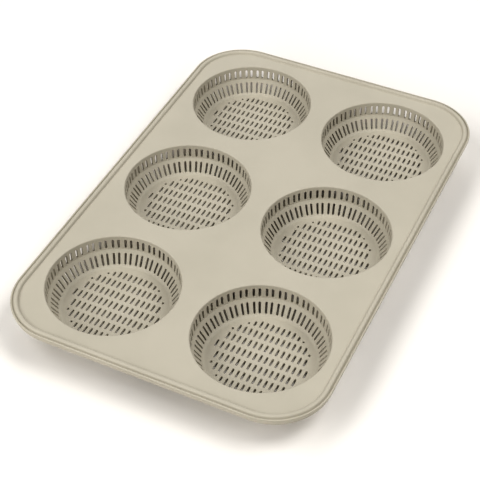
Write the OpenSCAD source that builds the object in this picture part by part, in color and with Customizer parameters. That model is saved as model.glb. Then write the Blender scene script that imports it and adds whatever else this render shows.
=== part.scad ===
// Perforated silicone tray with six round cups, two columns of three, for baking buns.
// The origin is at the middle of the plane that the cups' foot rings stand on, +Z is up, and
// +Y runs along the tray's long side. The tray is one moulding and one steel ring:
// the moulding is divided here into its deck, its rim, and a wall and a base for each cup.

/* [Tray] */
// Overall width, across the two columns of cups
tray_width = 255.6; // [252:0.1:262]
// Overall length, along the three cups of a column
tray_length = 385.6; // [382:0.1:392]
// Radius of the tray's outer corners
corner_radius = 45; // [35:0.5:50]
// Thickness of the silicone in the deck, the walls and the bases
skin = 2; // [1.5:0.1:2.4]

/* [Cups] */
// Distance between the middles of the two columns
column_pitch = 122; // [119:0.1:123]
// Distance between the middles of neighbouring cups in a column
row_pitch = 122.6; // [119:0.1:124]
// Radius of a cup's mouth, level with the deck
mouth_radius = 51.5; // [49:0.1:52]
// Radius of the rounded edge of the mouth
mouth_edge = 1; // [0.6:0.1:1.4]
// Inside radius where the upright part of the wall ends
shoulder_radius = 50.3; // [48:0.1:50.5]
// Depth of that place below the deck
shoulder_depth = 12.5; // [11.5:0.1:14]
// Inside radius where the slanted part of the wall would meet the base
base_radius = 42.4; // [40:0.1:44]
// Depth of the base's upper face below the deck
cup_depth = 24.4; // [22:0.1:28]
// Radius of the inside corner between the wall and the base
base_corner = 4; // [3:0.5:6]
// Height of the foot ring under a base
foot_height = 2; // [1:0.1:2.4]
// Width of the foot ring
foot_width = 2; // [1.5:0.1:2.6]

/* [Wall slots] */
// Pairs of slots round a cup, the same in the upper and the lower row
slot_pairs = 32; // [24:1:34]
// Angle between the two slots of a pair
pair_angle = 5.04; // [4.6:0.02:5.4]
// Width of an upper slot
upper_slot_width = 1.95; // [1.2:0.05:2.4]
// Depth of an upper slot's top end below the deck
upper_slot_top = 3.6; // [3:0.1:4.5]
// Length of an upper slot
upper_slot_length = 8.1; // [5:0.1:8.4]
// Width of a lower slot
lower_slot_width = 1.75; // [1:0.05:1.9]
// Distance down the slant from the shoulder to a lower slot's upper end
lower_slot_start = 3.2; // [2:0.1:4]
// Length of a lower slot
lower_slot_length = 9.4; // [5:0.1:9.6]

/* [Base slots] */
// Width of a slot in the base
base_slot_width = 1.7; // [1:0.05:2]
// Length of a slot in the base
base_slot_length = 7.2; // [5:0.1:8]
// Distance between neighbouring slots across the tray
base_slot_pitch_x = 4.48; // [4:0.01:5]
// Distance between neighbouring slots along the tray
base_slot_pitch_y = 10.29; // [9.5:0.01:11]
// Radius of the round area that the slots are cut to
base_slot_area = 36.8; // [34:0.1:37]
// Shortest slot that is kept at the edge of that area
shortest_base_slot = 1.75; // [1.7:0.01:1.85]

/* [Rim] */
// Radius of the half-round bead on the deck's edge
bead_radius = 2.25; // [1.8:0.05:2.4]
// Height of the bead above the deck
bead_height = 2; // [1.2:0.1:2.1]
// Radius of the small outer lip, outside the bead
lip_radius = 0.8; // [0.7:0.05:1]
// Height of the outer lip above the deck
lip_height = 1.2; // [0.6:0.1:1.4]
// Width of the narrow valley between bead and lip
valley_width = 0.3; // [0.2:0.1:0.5]
// Depth of that valley below the deck
valley_depth = 0.2; // [0:0.1:0.4]
// Depth of the rim's underside below the deck
rim_depth = 4.8; // [4.4:0.1:5]
// How far the rim's outer face leans in at its foot
rim_lean = 1.3; // [0.6:0.1:1.4]
// Diameter of the steel ring in the rim's groove
ring_wire = 3; // [2.5:0.1:3.2]
// Width of the groove's mouth, which holds the ring in
groove_mouth = 2.2; // [1.8:0.1:2.4]

/* [Hidden] */
$fn = 96;
// Each cup's name and its place, in columns and rows from the middle
CUPS = [
    ["back_left", -0.5, 1], ["back_right", 0.5, 1],
    ["middle_left", -0.5, 0], ["middle_right", 0.5, 0],
    ["front_left", -0.5, -1], ["front_right", 0.5, -1]
];

silicone = [0.77, 0.74, 0.67];
steel = [0.70, 0.71, 0.72];
cut = 1; // how far a cutting shape runs past the face that it cuts
floor_top = foot_height + skin;
deck_top = floor_top + cup_depth;
collar_radius = mouth_radius + skin + 0.1; // outer radius of a cup's own part of the deck

// The wall's inside outline, from the mouth down to the base, as [radius, height]
mouth_point = [mouth_radius, deck_top - mouth_edge];
shoulder_point = [shoulder_radius, deck_top - shoulder_depth];
corner_point = [base_radius, floor_top];
slant = shoulder_point - corner_point;
slant_angle = atan2(slant[1], slant[0]); // from the horizontal

// The same outline a skin's thickness outside: where the walls' outer faces meet
upper_tilt = atan2(mouth_radius - shoulder_radius, shoulder_depth);
outer_shoulder = shoulder_point
    + skin / cos((90 - slant_angle - upper_tilt) / 2)
    * [cos((90 - slant_angle + upper_tilt) / 2), -sin((90 - slant_angle + upper_tilt) / 2)];
outer_top = [
    outer_shoulder[0] + tan(upper_tilt) * (deck_top - skin / 2 - outer_shoulder[1]),
    deck_top - skin / 2
];

// Centre of the round corner between wall and base, and where that corner touches the slant
corner_reach = base_corner * tan(slant_angle / 2);
corner_center = [base_radius - corner_reach, floor_top + base_corner];
slant_touch = corner_point + corner_reach * [cos(slant_angle), sin(slant_angle)];
outer_touch = slant_touch + skin * [sin(slant_angle), -cos(slant_angle)];
base_disc = corner_center[0];

// The rim's outline is measured outwards from the centre of a corner
corner_x = tray_width / 2 - corner_radius;
corner_y = tray_length / 2 - corner_radius;
lip_center = [corner_radius - lip_radius, deck_top + lip_height - lip_radius];
bead_center = [
    corner_radius - 2 * lip_radius - valley_width - bead_radius,
    deck_top + bead_height - bead_radius
];
deck_edge = bead_center[0] - sqrt(pow(bead_radius, 2) - pow(bead_radius - bead_height, 2));
rim_foot = deck_top - rim_depth;
valley = deck_top - valley_depth;
rim_edge = 0.6; // how far the rim's lower edges are cut back
ring_center = [bead_center[0] + 0.3, rim_foot + ring_wire / 2 + 0.1];

// A slot with round ends, along Y, from the height "from" to "to" in its own plane
module slot_outline(width, from, to) {
    translate([-width / 2, from + width / 2]) square([width, to - from - width]);
    translate([0, from + width / 2]) circle(d = width);
    translate([0, to - width / 2]) circle(d = width);
}

// Puts what it is given at the angles of every wall slot
module at_wall_slots() {
    for (pair = [0 : slot_pairs - 1], side = [-1, 1])
        rotate(90 + (pair + 0.5) * 360 / slot_pairs + side * pair_angle / 2) children();
}

module upper_slot() {
    translate([mouth_radius - 4, 0, deck_top])
        rotate([90, 0, 90]) linear_extrude(8)
            slot_outline(upper_slot_width, -upper_slot_top - upper_slot_length, -upper_slot_top);
}

module lower_slot() {
    translate([shoulder_point[0], 0, shoulder_point[1]])
        rotate([0, 90 - slant_angle, 0])
            translate([-cut, 0, 0]) rotate([90, 0, 90]) linear_extrude(skin + 2 * cut)
                slot_outline(lower_slot_width, -lower_slot_start - lower_slot_length, -lower_slot_start);
}

// One side of a cup wall's outline, solid to the axis: the outside, or the space within
module within_outline(top, shoulder, touch, bottom, corner) {
    polygon([[0, top[1]], top, shoulder, touch, [base_disc, bottom], [0, bottom]]);
    translate(corner_center) circle(corner);
}

// Half of a cup wall's section, from the collar at the mouth to the edge of the base
module wall_section() {
    intersection() {
        translate([base_disc, 0]) square([collar_radius - base_disc, deck_top]);
        difference() {
            union() {
                within_outline(outer_top, outer_shoulder, outer_touch, foot_height, base_corner + skin);
                translate([0, deck_top - skin]) square([collar_radius, skin]);
            }
            within_outline(mouth_point, shoulder_point, slant_touch, floor_top, base_corner);
            // the rounded edge of the mouth
            difference() {
                translate([0, mouth_point[1]]) square([mouth_radius + mouth_edge, mouth_edge + cut]);
                translate(mouth_point + [mouth_edge, 0]) circle(mouth_edge);
            }
        }
    }
}

module at_cup(cup) {
    translate([cup[1] * column_pitch, cup[2] * row_pitch, 0]) children();
}

module cup_wall(cup) {
    color(silicone) at_cup(cup) difference() {
        rotate_extrude() wall_section();
        at_wall_slots() upper_slot();
        at_wall_slots() lower_slot();
    }
}

// The slots of a base, on a straight grid, each cut short by the edge of the round area
module base_slots() {
    columns = floor(base_slot_area / base_slot_pitch_x);
    rows = floor(base_slot_area / base_slot_pitch_y);
    for (i = [-columns : columns], j = [-rows : rows]) {
        x = i * base_slot_pitch_x;
        limit = sqrt(pow(base_slot_area, 2) - pow(x, 2));
        from = max(j * base_slot_pitch_y - base_slot_length / 2, -limit);
        to = min(j * base_slot_pitch_y + base_slot_length / 2, limit);
        if (to - from > shortest_base_slot)
            translate([x, 0]) slot_outline(base_slot_width, from, to);
    }
}

module cup_base(cup) {
    color(silicone) at_cup(cup) {
        translate([0, 0, foot_height]) linear_extrude(skin) difference() {
            circle(base_disc);
            base_slots();
        }
        // the foot ring, which reaches into the base
        linear_extrude(foot_height + skin / 2) difference() {
            circle(base_disc);
            circle(base_disc - foot_width);
        }
    }
}

module rounded_rectangle(half_x, half_y, radius) {
    square([2 * half_x, 2 * (half_y - radius)], center = true);
    square([2 * (half_x - radius), 2 * half_y], center = true);
    for (x = [-1, 1], y = [-1, 1])
        translate([x * (half_x - radius), y * (half_y - radius)]) circle(radius);
}

module deck() {
    color(silicone) translate([0, 0, deck_top - skin]) linear_extrude(skin) difference() {
        rounded_rectangle(corner_x + deck_edge, corner_y + deck_edge, deck_edge);
        for (cup = CUPS)
            translate([cup[1] * column_pitch, cup[2] * row_pitch]) circle(collar_radius);
    }
}

// Carries a section round the tray: four straight runs and four quarter turns
module round_the_edge() {
    for (side = [0, 1]) rotate(side * 180) {
        translate([corner_x, corner_y]) rotate_extrude(angle = 90) children();
        translate([corner_x, corner_y]) rotate([90, 0, 0]) linear_extrude(2 * corner_y) children();
        translate([-corner_x, corner_y]) rotate(90) rotate_extrude(angle = 90) children();
        translate([-corner_x, corner_y]) rotate([90, 0, 90]) linear_extrude(2 * corner_x)
            children();
    }
}

// The rim's section: a half-round bead, a smaller lip outside it, and a leaning outer face
module rim_section() {
    difference() {
        union() {
            intersection() {
                translate(bead_center) circle(bead_radius);
                translate([deck_edge, deck_top - skin]) square(2 * bead_radius + skin);
            }
            translate(lip_center) circle(lip_radius);
            polygon([
                [deck_edge, deck_top], [deck_edge, deck_top - skin],
                [deck_edge + rim_edge, rim_foot],
                [corner_radius - rim_lean - rim_edge, rim_foot],
                [corner_radius - rim_lean, rim_foot + rim_edge],
                [corner_radius, lip_center[1]], lip_center, [lip_center[0], valley],
                [bead_center[0], valley], [bead_center[0], deck_top]
            ]);
        }
        translate(ring_center) circle(d = ring_wire);
        translate([ring_center[0] - groove_mouth / 2, rim_foot - cut])
            square([groove_mouth, ring_center[1] - rim_foot + cut]);
    }
}

module rim() {
    color(silicone) round_the_edge() rim_section();
}

module rim_ring() {
    color(steel) round_the_edge() translate(ring_center) circle(d = ring_wire);
}

deck();
rim();
rim_ring();
for (cup = CUPS) {
    cup_wall(cup);
    cup_base(cup);
}
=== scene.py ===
import math

import bpy
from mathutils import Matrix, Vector
from mathutils.geometry import delaunay_2d_cdt


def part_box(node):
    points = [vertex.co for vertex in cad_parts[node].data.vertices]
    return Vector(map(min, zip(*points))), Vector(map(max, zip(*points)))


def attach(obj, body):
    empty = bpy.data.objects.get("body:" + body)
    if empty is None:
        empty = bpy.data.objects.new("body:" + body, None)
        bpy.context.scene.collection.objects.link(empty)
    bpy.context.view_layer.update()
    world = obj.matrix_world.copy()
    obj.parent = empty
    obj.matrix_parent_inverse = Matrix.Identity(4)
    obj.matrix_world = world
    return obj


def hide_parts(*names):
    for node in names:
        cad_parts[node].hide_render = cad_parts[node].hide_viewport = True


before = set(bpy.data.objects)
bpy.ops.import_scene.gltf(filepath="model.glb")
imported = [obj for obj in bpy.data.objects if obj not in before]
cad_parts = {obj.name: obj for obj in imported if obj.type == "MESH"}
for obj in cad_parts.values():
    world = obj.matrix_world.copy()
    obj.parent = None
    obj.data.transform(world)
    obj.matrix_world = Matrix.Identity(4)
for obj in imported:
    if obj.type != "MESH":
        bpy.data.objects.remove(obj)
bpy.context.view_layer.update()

# The silicone is built in millimetres, with z = 0 on the deck's upper face, and is put
# in the frame by one scale and one shift.
MM = 0.001

# ---- sizes that come from the frame --------------------------------------------------


def size_mm(node):
    """A CAD node's lowest and highest corners, in millimetres."""
    low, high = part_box(node)
    return low / MM, high / MM


def middle_of(node):
    """A CAD node's middle, seen from above."""
    low, high = size_mm(node)
    return Vector(((low.x + high.x) / 2, (low.y + high.y) / 2, 0))


bases = [name for name in sorted(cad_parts) if name.startswith("cup_base_")]
CUPS = [name.removeprefix("cup_base_") for name in bases]
CUP_CENTRES = {cup: middle_of("cup_base_" + cup) for cup in CUPS}
deck_low, deck_high = size_mm("deck")
rim_low, rim_high = size_mm("rim")
base_low, base_high = size_mm("cup_base_" + CUPS[0])
wall_low, wall_high = size_mm("cup_wall_" + CUPS[0])

DECK_TOP = deck_high.z
SKIN = deck_high.z - deck_low.z
HALF_WIDTH, HALF_LENGTH = rim_high.x, rim_high.y
RIM_FOOT = rim_low.z - DECK_TOP
CUP_FLOOR = base_high.z - DECK_TOP
FOOT_HEIGHT = base_high.z - base_low.z - SKIN
CUP_RADIUS = (wall_high.x - wall_low.x) / 2

# ---- sizes of the details ------------------------------------------------------------

CORNER_RADIUS = 45.0           # of the tray's outline
CORNER_STEPS = 24              # segments round one of its corners
RING_STEPS = 256               # segments round a cup
ARC_STEP = 15                  # most degrees that one segment of a small arc turns
SAME_POINT = 1e-4              # two points nearer than this are one

# A cup's inside, as radius and height
CUP_CORNER = (42.4, CUP_FLOOR)
CUP_SHOULDER = (50.3, -12.5)
CUP_MOUTH = (51.5, 0.0)
CORNER_ROUND, SHOULDER_ROUND, MOUTH_ROUND, UNDER_ROUND = 4.0, 1.5, 1.0, 0.9
COLLAR = CUP_RADIUS + 2        # radius where a cup's mouth piece ends, flat in the deck
BAND_TOP = 3.0                 # depth where the slotted part of the wall starts
BASE_EDGE = 37.4               # radius where the slotted part of the base ends
FOOT_WIDTH = 2.0               # of the ring that a cup stands on
FOOT_CREASE, FOOT_EDGE = 0.4, 0.3      # its rounding against the base, and underneath

SLOT_PAIRS = 32
PAIR_ANGLE = 5.04              # degrees between the two slots of a pair
UPPER_SLOT = (1.95, 3.6, 11.7)     # width, and its ends' depths below the deck
LOWER_SLOT = (1.75, 3.2, 12.6)     # width, and its ends' distances down the slant
BASE_SLOT = (1.7, 7.2)             # width and length
BASE_PITCH = (4.48, 10.29)     # across the slots and along them
BASE_SLOT_AREA = 36.8          # radius that the slots' ends keep inside
SHORTEST_BASE_SLOT = 1.75      # a slot cut shorter than this is left out
SLOT_EDGE = 0.15               # radius of a slot's rounded edges
SLOT_END_STEPS = 6             # segments in a slot's round end
SLOT_EDGE_STEPS = 3            # segments in its rounded edge

# The rim's section, as distance outwards from a corner's centre, height and rounding
RIM_INNER = 36.7               # where the rim's own piece starts, flat in the deck
RIM_OUTSIDE = [
    (37.4, 0.0, 1.2), (38.4, -0.2, 0.6), (39.4, 2.0, 1.6), (42.0, 2.0, 1.6), (43.2, -0.2, 0.2),
    (43.8, 1.2, 0.55), (CORNER_RADIUS + 0.05, 1.2, 0.7), (43.7, RIM_FOOT, 0.6),
]
RIM_UNDERSIDE = [(39.2, RIM_FOOT, 0.5), (38.6, -SKIN, 0.8)]

# The groove under the rim, round the steel ring
GROOVE_CENTRE = (41.15, RIM_FOOT + 1.6)
GROOVE_RADIUS, GROOVE_HALF_MOUTH, GROOVE_EDGE = 1.5, 1.1, 0.15
GROOVE_STEPS = 18


# ---- mesh building -------------------------------------------------------------------


class Skin:
    """Faces that share points. A corner is (point's number, true normal of the surface)."""

    def __init__(self):
        self.points, self.faces = [], []

    def ring(self, spots):
        """Adds (point, normal) pairs, and gives them back as corners."""
        first = len(self.points)
        self.points += [point for point, normal in spots]
        return [(first + k, normal) for k, (point, normal) in enumerate(spots)]

    def face(self, corners):
        """Adds a triangle or a quad, turned to face the way its normals point."""
        spots = [self.points[number] for number, normal in corners]
        facing = (spots[2] - spots[0]).cross(spots[-1] - spots[1])
        if facing.dot(sum((normal for number, normal in corners), Vector((0, 0, 0)))) < 0:
            corners = corners[::-1]
        self.faces.append(corners)

    def strip(self, ring, other):
        """Quads between two closed rings of the same length."""
        for k in range(len(ring)):
            self.face([ring[k - 1], ring[k], other[k], other[k - 1]])

    def sweep(self, outline, place, closed=False):
        """Carries an outline round a closed path: place(point, normal) gives a whole ring."""
        rings = []
        for k, (point, normal) in enumerate(outline):
            spots = place(point, normal)
            if k and (point - outline[k - 1][0]).length < SAME_POINT:
                # a sharp corner: the same points with other normals
                rings.append([(old[0], spot[1]) for old, spot in zip(rings[-1], spots)])
                continue
            rings.append(self.ring(spots))
            if k:
                self.strip(rings[-2], rings[-1])
        if closed:
            self.strip(rings[-1], rings[0])
        return rings

    def object(self, name, shift=Vector((0, 0, 0))):
        """A Blender object in the frame, in metres."""
        origin = shift + Vector((0, 0, DECK_TOP))
        mesh = bpy.data.meshes.new(name)
        mesh.from_pydata(
            [(point + origin) * MM for point in self.points], [],
            [[number for number, normal in face] for face in self.faces], shade_flat=False,
        )
        normals = [normal.normalized() for face in self.faces for number, normal in face]
        mesh.normals_split_custom_set(normals)
        made = bpy.data.objects.new(name, mesh)
        bpy.context.scene.collection.objects.link(made)
        return made


def left_of(way):
    """The direction a quarter turn to the left of another."""
    return Vector((-way.y, way.x))


def rounded(corners):
    """The outline through corners given as (x, height, rounding): a list for every corner.

    Each list holds (point, normal) pairs, and normals point to the left of the way it runs.
    A corner with no rounding gives its point once for each side."""
    parts = []
    spots = [Vector(corner[:2]) for corner in corners]
    for k, spot in enumerate(spots):
        near = spots[max(k - 1, 0):k + 2]
        ways = [(b - a).normalized() for a, b in zip(near, near[1:])]
        radius = corners[k][2]
        if radius == 0:
            parts.append([(spot, left_of(way)) for way in ways])
            continue
        before, after = ways
        turn = -before.angle_signed(after)
        side = math.copysign(radius, turn)
        centre = spot - before * radius * math.tan(abs(turn) / 2) + left_of(before) * side
        steps = math.ceil(abs(math.degrees(turn)) / ARC_STEP)
        arc = []
        for step in range(steps + 1):
            angle = math.atan2(before.x, -before.y) + turn * step / steps
            normal = Vector((math.cos(angle), math.sin(angle)))
            arc.append((centre - normal * side, normal))
        parts.append(arc)
    return parts


def slot_loop(width, low, high):
    """A slot's outline about x = 0, with its straight sides along y: the point and the way out."""
    half = width / 2
    loop = []
    for middle, first in ((low + half, 180), (high - half, 0)):
        for step in range(SLOT_END_STEPS + 1):
            angle = math.radians(first + 180 * step / SLOT_END_STEPS)
            way = Vector((math.cos(angle), math.sin(angle)))
            loop.append((Vector((0, middle)) + way * half, way))
    return loop


def cut_slot(skin, x, slot, place):
    """The inside of a slot, with rounded edges, as a hole for fill().

    place(x, point, depth) gives the spot there, the sheet's normal, and its two directions."""
    loop = slot_loop(*slot)
    turns = [90 * k / SLOT_EDGE_STEPS for k in range(SLOT_EDGE_STEPS + 1)]
    rings = []
    for face, levels in ((1, turns), (-1, turns[::-1])):
        for level in levels:
            c, s = math.cos(math.radians(level)), math.sin(math.radians(level))
            depth = SLOT_EDGE * (1 - c)
            spots = []
            for point, way in loop:
                spot, up, across, along = place(
                    x, point + way * SLOT_EDGE * (1 - s), depth if face > 0 else SKIN - depth
                )
                out = across * way.x + along * way.y
                spots.append((spot, up * face * c - out * s))
            rings.append(skin.ring(spots))
            if len(rings) > 1:
                skin.strip(rings[-2], rings[-1])
    flat = [point + way * SLOT_EDGE + Vector((x, 0)) for point, way in loop]
    return flat, rings[0], rings[-1]


def fill(skin, border, holes):
    """Covers both faces of a sheet.

    The border and every hole are given as a loop on the flat, and its corners above and below."""
    flat, above, below, hole_of, edges = [], [], [], [], []
    for number, (loop, upper, lower) in enumerate([border, *holes]):
        first = len(flat)
        edges += [(first + k, first + (k + 1) % len(loop)) for k in range(len(loop))]
        flat += loop
        above += upper
        below += lower
        hole_of += [number] * len(loop)
    made = delaunay_2d_cdt(flat, edges, [], 1, 1e-6)
    for triangle in made[2]:
        corners = [made[3][v][0] for v in triangle]
        numbers = {hole_of[c] for c in corners}
        if numbers != {0} and len(numbers) == 1:
            continue          # inside a hole
        skin.face([above[c] for c in corners])
        skin.face([below[c] for c in corners])


# ---- cups ----------------------------------------------------------------------------


def round_the_axis(point, normal):
    """A ring round a cup's axis through a point given as radius and height."""
    spots = []
    for step in range(RING_STEPS):
        angle = 2 * math.pi * step / RING_STEPS
        c, s = math.cos(angle), math.sin(angle)
        spots.append((
            Vector((point.x * c, point.x * s, point.y)),
            Vector((normal.x * c, normal.x * s, normal.y)),
        ))
    return spots


def under(part):
    """The same part of an outline on the other face of the skin."""
    return [(point - normal * SKIN, -normal) for point, normal in part]


def inside_out(parts):
    """All the parts of an outline as one, with its normals on the other side."""
    return [(point, -normal) for part in parts for point, normal in part]


def slotted_band(skin, line, rings, under_rings, slot):
    """The part of a cup's wall along line, between two rings on each face, cut by its slots."""
    radius = line[0][0].x
    lengths = [(b[0] - a[0]).length for a, b in zip(line, line[1:])]

    def walk(distance):
        """The point and normal at a distance from the line's start."""
        for k, length in enumerate(lengths):
            if distance <= length or k == len(lengths) - 1:
                (a, normal_a), (b, normal_b) = line[k:k + 2]
                part = distance / length
                return a.lerp(b, part), normal_a.lerp(normal_b, part).normalized()
            distance -= length

    def place(x, point, depth):
        spot, normal = walk(point.y)
        angle = x / radius + point.x / spot.x
        c, s = math.cos(angle), math.sin(angle)
        spot = spot - normal * depth
        way = Vector((normal.y, -normal.x))
        return (
            Vector((spot.x * c, spot.x * s, spot.y)),
            Vector((normal.x * c, normal.x * s, normal.y)),
            Vector((-s, c, 0)),
            Vector((way.x * c, way.x * s, way.y)),
        )

    step = 2 * math.pi * radius / RING_STEPS
    there = range(RING_STEPS + 1)
    flat = [Vector((k * step, 0)) for k in there]
    flat += [Vector((k * step, sum(lengths))) for k in reversed(there)]
    wrapped = [
        [ring[k % RING_STEPS] for k in there] + [other[k % RING_STEPS] for k in reversed(there)]
        for ring, other in (rings, under_rings)
    ]
    angles = [
        (pair + 0.5) * 360 / SLOT_PAIRS + side * PAIR_ANGLE / 2
        for pair in range(SLOT_PAIRS) for side in (-1, 1)
    ]
    holes = [cut_slot(skin, math.radians(angle) * radius, slot, place) for angle in angles]
    fill(skin, (flat, *wrapped), holes)


def slotted_base(skin, ring, under_ring):
    """The round base inside two rings, with slots on a straight grid, cut short at its edge."""

    def place(x, point, depth):
        return (
            Vector((x + point.x, point.y, CUP_FLOOR - depth)),
            Vector((0, 0, 1)), Vector((1, 0, 0)), Vector((0, 1, 0)),
        )

    width, length = BASE_SLOT
    columns, rows = (int(BASE_SLOT_AREA / pitch) for pitch in BASE_PITCH)
    holes = []
    for i in range(-columns, columns + 1):
        x = i * BASE_PITCH[0]
        limit = math.sqrt(BASE_SLOT_AREA ** 2 - x ** 2)
        for j in range(-rows, rows + 1):
            low = max(j * BASE_PITCH[1] - length / 2, -limit)
            high = min(j * BASE_PITCH[1] + length / 2, limit)
            if high - low > SHORTEST_BASE_SLOT:
                holes.append(cut_slot(skin, x, (width, low, high), place))
    flat = [skin.points[number].to_2d() for number, normal in ring]
    fill(skin, (flat, ring, under_ring), holes)


def cup_skin():
    """A whole cup round the axis: base, slanted wall, upright wall, rounded mouth and collar."""
    skin = Skin()
    upright = (Vector(CUP_MOUTH) - Vector(CUP_SHOULDER)).normalized()
    band_top = Vector(CUP_MOUTH) - upright * BAND_TOP / upright.y
    base, corner, shoulder, top, mouth, collar = rounded([
        (BASE_EDGE, CUP_FLOOR, 0), (*CUP_CORNER, CORNER_ROUND), (*CUP_SHOULDER, SHOULDER_ROUND),
        (*band_top, 0), (*CUP_MOUTH, MOUTH_ROUND), (COLLAR, 0, 0),
    ])
    outer_top = band_top - left_of(upright) * SKIN
    outer_mouth = outer_top + upright * (-SKIN - outer_top.y) / upright.y
    under_mouth = rounded([(*outer_top, 0), (*outer_mouth, UNDER_ROUND), (COLLAR, -SKIN, 0)])
    foot_radius, underside = corner[0][0].x, CUP_FLOOR - SKIN
    foot = rounded([
        (BASE_EDGE, underside, 0), (foot_radius - FOOT_WIDTH, underside, FOOT_CREASE),
        (foot_radius - FOOT_WIDTH, underside - FOOT_HEIGHT, FOOT_EDGE),
        (foot_radius, underside - FOOT_HEIGHT, FOOT_EDGE), (foot_radius, underside, 0),
    ])

    # from the base up to the lower band, the shoulder between the bands, and the mouth
    low = skin.sweep(base + corner[:-1], round_the_axis)
    low_under = skin.sweep(inside_out(foot) + under(corner[:-1]), round_the_axis)
    bend = skin.sweep(shoulder, round_the_axis)
    bend_under = skin.sweep(under(shoulder), round_the_axis)
    high = skin.sweep(top[:1] + mouth + collar, round_the_axis)
    high_under = skin.sweep(inside_out(under_mouth), round_the_axis)
    outward = [normal for point, normal in round_the_axis(Vector((COLLAR, 0)), Vector((1, 0)))]
    ends = [
        [(number, way) for (number, normal), way in zip(ring, outward)]
        for ring in (high[-1], high_under[-1])
    ]
    skin.strip(*ends)

    lower_line = [corner[-2], corner[-1], shoulder[0]]
    reach = (Vector(CUP_SHOULDER) - shoulder[0][0]).length
    span = sum((b[0] - a[0]).length for a, b in zip(lower_line, lower_line[1:])) + reach
    width, start, end = LOWER_SLOT
    slotted_band(skin, lower_line, (low[-1], bend[0]), (low_under[-1], bend_under[0]),
                 (width, span - end, span - start))
    width, start, end = UPPER_SLOT
    foot = shoulder[-1][0].y
    slotted_band(skin, [shoulder[-1], top[0]], (bend[-1], high[0]), (bend_under[-1], high_under[0]),
                 (width, (-end - foot) / upright.y, (-start - foot) / upright.y))
    slotted_base(skin, low[0], low_under[0])
    return skin


# ---- deck and rim --------------------------------------------------------------------


def round_the_edge(point, normal):
    """A ring round the tray, through a point of the rim's section."""
    middle_x, middle_y = HALF_WIDTH - CORNER_RADIUS, HALF_LENGTH - CORNER_RADIUS
    spots = []
    for corner, (x, y) in enumerate(((1, 1), (-1, 1), (-1, -1), (1, -1))):
        centre = Vector((x * middle_x, y * middle_y, point.y))
        for step in range(CORNER_STEPS + 1):
            angle = math.radians(90 * (corner + step / CORNER_STEPS))
            way = Vector((math.cos(angle), math.sin(angle), 0))
            spots.append((centre + way * point.x, way * normal.x + Vector((0, 0, normal.y))))
    return spots


def sheet_wall(skin, place, radius, facing, shift=Vector((0, 0, 0))):
    """A sheet's upright wall round a closed path, as a border or a hole for fill()."""
    ends = []
    for height in (0, -SKIN):
        spots = place(Vector((radius, height)), Vector((facing, 0)))
        ends.append(skin.ring([(point + shift, normal) for point, normal in spots]))
    skin.strip(*ends)
    flat = [skin.points[number].to_2d() for number, normal in ends[0]]
    above, below = (
        [(number, Vector((0, 0, side))) for number, normal in end] for end, side in zip(ends, (1, -1))
    )
    return flat, above, below


def deck_skin():
    """The flat deck, up to the rim's piece and the cups' collars."""
    skin = Skin()
    border = sheet_wall(skin, round_the_edge, RIM_INNER, 1)
    holes = [sheet_wall(skin, round_the_axis, COLLAR, -1, CUP_CENTRES[cup]) for cup in CUPS]
    fill(skin, border, holes)
    return skin


def rim_skin():
    """The beaded edge, with a groove underneath that holds the ring."""
    skin = Skin()
    groove = []
    opening = math.degrees(math.acos(GROOVE_HALF_MOUTH / GROOVE_RADIUS))
    for step in range(GROOVE_STEPS + 1):
        angle = math.radians(-opening + (180 + 2 * opening) * step / GROOVE_STEPS)
        way = Vector((math.cos(angle), math.sin(angle)))
        groove.append((Vector(GROOVE_CENTRE) + way * GROOVE_RADIUS, -way))
    first, last = groove[0][0], groove[-1][0]
    outline = rounded([
        (*last, 0), (last.x, RIM_FOOT, GROOVE_EDGE), *RIM_UNDERSIDE,
        (RIM_INNER, -SKIN, 0), (RIM_INNER, 0, 0),
        *RIM_OUTSIDE, (first.x, RIM_FOOT, GROOVE_EDGE), (*first, 0),
    ])
    spots = [spot for part in outline for spot in part] + groove[1:-1]
    skin.sweep(spots, round_the_edge, closed=True)
    return skin


# ---- materials -----------------------------------------------------------------------

# Each is two tones that a noise goes between
SILICONE_TONES = (0.415, 0.385, 0.315), (0.437, 0.405, 0.333)
STEEL_TONES = (0.52, 0.52, 0.53), (0.62, 0.62, 0.63)
BACKDROP_TONES = (0.79, 0.76, 0.72), (0.81, 0.78, 0.74)
TONE_BLEND = 0.35, 0.65        # the noise values between which they blend


def new_material(name):
    """A material, its nodes and links, and its shader."""
    material = bpy.data.materials.new(name)
    material.use_nodes = True
    nodes, links = material.node_tree.nodes, material.node_tree.links
    return material, nodes, links, nodes["Principled BSDF"]


def noise(nodes, links, coordinates, scale, detail):
    """A noise in the object's own space. scale is about how many lumps there are to a metre."""
    texture = nodes.new("ShaderNodeTexNoise")
    texture.inputs["Scale"].default_value = scale
    texture.inputs["Detail"].default_value = detail
    links.new(coordinates.outputs["Object"], texture.inputs["Vector"])
    return texture


def two_tones(nodes, links, texture, low, high):
    """A colour that goes from low to high with a noise."""
    ramp = nodes.new("ShaderNodeValToRGB")
    for element, position, tone in zip(ramp.color_ramp.elements, TONE_BLEND, (low, high)):
        element.position = position
        element.color = (*tone, 1)
    links.new(texture.outputs["Fac"], ramp.inputs["Fac"])
    return ramp


def bump(nodes, links, shader, texture, distance):
    """Roughens a surface with a noise, by a distance in metres."""
    node = nodes.new("ShaderNodeBump")
    node.inputs["Distance"].default_value = distance
    links.new(texture.outputs["Fac"], node.inputs["Height"])
    links.new(node.outputs["Normal"], shader.inputs["Normal"])


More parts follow.
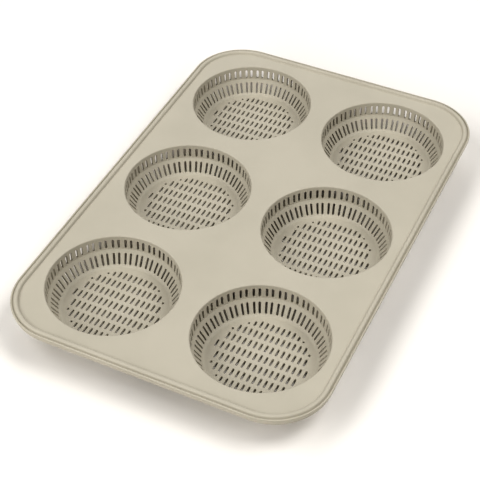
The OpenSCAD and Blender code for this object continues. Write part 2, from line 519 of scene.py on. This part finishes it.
def silicone():
    """Matte beige silicone rubber with a dry, slightly powdery surface."""
    material, nodes, links, shader = new_material("silicone")
    where = nodes.new("ShaderNodeTexCoord")
    cloud = noise(nodes, links, where, 22, 3)
    tone = two_tones(nodes, links, cloud, *SILICONE_TONES)
    links.new(tone.outputs["Color"], shader.inputs["Base Color"])
    grain = noise(nodes, links, where, 1600, 2)
    bump(nodes, links, shader, grain, 0.00003)
    shader.inputs["Roughness"].default_value = 0.6
    shader.inputs["IOR"].default_value = 1.41
    shader.inputs["Sheen Weight"].default_value = 0.08
    shader.inputs["Sheen Roughness"].default_value = 0.5
    return material


def steel():
    """Drawn steel wire, with a fine grain."""
    material, nodes, links, shader = new_material("steel")
    where = nodes.new("ShaderNodeTexCoord")
    grain = noise(nodes, links, where, 900, 4)
    tone = two_tones(nodes, links, grain, *STEEL_TONES)
    links.new(tone.outputs["Color"], shader.inputs["Base Color"])
    bump(nodes, links, shader, grain, 0.00002)
    shader.inputs["Metallic"].default_value = 1
    shader.inputs["Roughness"].default_value = 0.32
    return material


def backdrop():
    """White card, a little uneven."""
    material, nodes, links, shader = new_material("backdrop")
    where = nodes.new("ShaderNodeTexCoord")
    cloud = noise(nodes, links, where, 3, 2)
    tone = two_tones(nodes, links, cloud, *BACKDROP_TONES)
    links.new(tone.outputs["Color"], shader.inputs["Base Color"])
    shader.inputs["Roughness"].default_value = 0.9
    return material


# ---- the pieces ----------------------------------------------------------------------

moulded = silicone()
cup = cup_skin()
pieces = [
    (deck_skin().object("deck_skin"), ["deck"]),
    (rim_skin().object("edge_bead"), ["rim"]),
]
for name in CUPS:
    made = cup.object("cup_" + name, CUP_CENTRES[name])
    pieces.append((made, ["cup_wall_" + name, "cup_base_" + name]))
for piece, stands_for in pieces:
    piece.data.materials.append(moulded)
    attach(piece, "root")
    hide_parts(*stands_for)

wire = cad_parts["rim_ring"]
wire.data.materials.clear()
wire.data.materials.append(steel())

# ---- floor, light and camera ---------------------------------------------------------

FLOOR_REACH = 0.9              # half the floor's width, in metres
AIM = Vector((0.00447, -0.03899, DECK_TOP * MM))       # the point that the camera looks at
CAMERA_PLACE = 25.52, 44.15, 0.9768                    # azimuth, elevation, metres from AIM
LIGHT_SIZE, LIGHT_DISTANCE = 1.1, 2.2
SOFTBOXES = [                  # azimuth, elevation, watts
    (115, 60, 22.2), (80, 35, 8.2), (205, 35, 9.8),
    (295, 55, 12.2), (330, 35, 16.6), (350, 15, 10.5),
]

corners = [(x * FLOOR_REACH, y * FLOOR_REACH, 0) for x, y in ((-1, -1), (1, -1), (1, 1), (-1, 1))]
floor_mesh = bpy.data.meshes.new("floor")
floor_mesh.from_pydata(corners, [], [(0, 1, 2, 3)])
floor = bpy.data.objects.new("floor", floor_mesh)
floor_mesh.materials.append(backdrop())
bpy.context.scene.collection.objects.link(floor)


def place_looking(thing, azimuth, elevation, distance):
    """Puts a light or a camera round the aim point. Azimuth 0 looks along +Y."""
    turn, lift = math.radians(azimuth), math.radians(elevation)
    level = math.cos(lift)
    way = Vector((math.sin(turn) * level, -math.cos(turn) * level, math.sin(lift)))
    thing.location = AIM + way * distance
    thing.rotation_euler = way.to_track_quat("Z", "Y").to_euler()
    bpy.context.scene.collection.objects.link(thing)


for azimuth, elevation, power in SOFTBOXES:
    box = bpy.data.lights.new("softbox", "AREA")
    box.size = LIGHT_SIZE
    box.energy = power
    place_looking(bpy.data.objects.new("softbox", box), azimuth, elevation, LIGHT_DISTANCE)

# The room gives little light, but looks as pale as the floor where the floor ends.
world = bpy.data.worlds.new("studio")
world.use_nodes = True
nodes, links = world.node_tree.nodes, world.node_tree.links
room = nodes["Background"]
room.inputs["Color"].default_value = (1, 1, 1, 1)
room.inputs["Strength"].default_value = 0.02
pale = nodes.new("ShaderNodeBackground")
pale.inputs["Color"].default_value = (1, 1, 1, 1)
pale.inputs["Strength"].default_value = 1
path, mix = nodes.new("ShaderNodeLightPath"), nodes.new("ShaderNodeMixShader")
links.new(path.outputs["Is Camera Ray"], mix.inputs[0])
links.new(room.outputs["Background"], mix.inputs[1])
links.new(pale.outputs["Background"], mix.inputs[2])
links.new(mix.outputs["Shader"], nodes["World Output"].inputs["Surface"])
bpy.context.scene.world = world

lens = bpy.data.cameras.new("camera")
lens.lens = 94.15
lens.sensor_width = 36
lens.clip_end = 20
camera = bpy.data.objects.new("camera", lens)
place_looking(camera, *CAMERA_PLACE)
bpy.context.scene.camera = camera
bpy.context.scene.view_settings.view_transform = "Standard"
bpy.context.scene.view_settings.look = "High Contrast"
